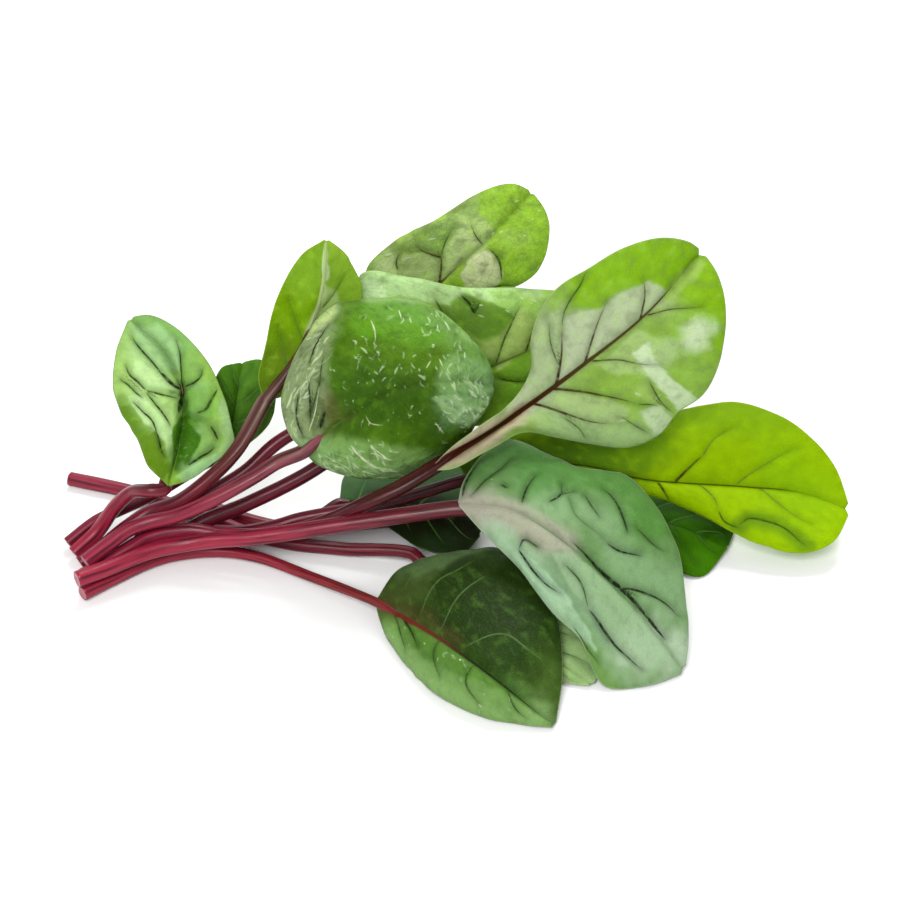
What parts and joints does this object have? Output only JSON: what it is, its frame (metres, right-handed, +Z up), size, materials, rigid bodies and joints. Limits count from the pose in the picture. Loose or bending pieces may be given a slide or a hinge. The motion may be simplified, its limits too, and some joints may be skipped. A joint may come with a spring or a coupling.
{
  "type": "bunch of sorrel leaves",
  "caption": "Loose bunch of young sorrel leaves with broad green blades and red stalks, lying on a flat surface.",
  "frame": {"origin": "bottom centre of the bounding box, on the surface that the bunch lies on", "axes": "+Z up; +X from the cut ends of the stalks towards the leaf tips"},
  "size_m": [0.1935, 0.1224, 0.0697],
  "materials": {
    "front_blade": "waxy leaf",
    "front_stalk": "smooth fleshy stalk",
    "front_right_blade": "waxy leaf",
    "front_right_stalk": "smooth fleshy stalk",
    "great_blade": "waxy leaf",
    "great_stalk": "smooth fleshy stalk",
    "bright_blade": "waxy leaf",
    "bright_stalk": "smooth fleshy stalk",
    "centre_blade": "waxy leaf",
    "centre_stalk": "smooth fleshy stalk",
    "upright_blade": "waxy leaf",
    "upright_stalk": "smooth fleshy stalk",
    "left_blade": "waxy leaf",
    "left_stalk": "smooth fleshy stalk",
    "small_dark_blade": "waxy leaf",
    "small_dark_stalk": "smooth fleshy stalk",
    "middle_blade": "waxy leaf",
    "middle_stalk": "smooth fleshy stalk",
    "top_blade": "waxy leaf",
    "top_stalk": "smooth fleshy stalk",
    "shaded_blade": "waxy leaf",
    "shaded_stalk": "smooth fleshy stalk",
    "low_right_blade": "waxy leaf",
    "low_right_stalk": "smooth fleshy stalk",
    "low_centre_blade": "waxy leaf",
    "low_centre_stalk": "smooth fleshy stalk"
  },
  "bodies": {
    "root": {"front_blade": "front_blade", "front_stalk": "front_stalk", "front_right_blade": "front_right_blade", "front_right_stalk": "front_right_stalk", "great_blade": "great_blade", "great_stalk": "great_stalk", "bright_blade": "bright_blade", "bright_stalk": "bright_stalk", "centre_blade": "centre_blade", "centre_stalk": "centre_stalk", "upright_blade": "upright_blade", "upright_stalk": "upright_stalk", "left_blade": "left_blade", "left_stalk": "left_stalk", "small_dark_blade": "small_dark_blade", "small_dark_stalk": "small_dark_stalk", "middle_blade": "middle_blade", "middle_stalk": "middle_stalk", "top_blade": "top_blade", "top_stalk": "top_stalk", "shaded_blade": "shaded_blade", "shaded_stalk": "shaded_stalk", "low_right_blade": "low_right_blade", "low_right_stalk": "low_right_stalk", "low_centre_blade": "low_centre_blade", "low_centre_stalk": "low_centre_stalk"}
  },
  "joints": []
}
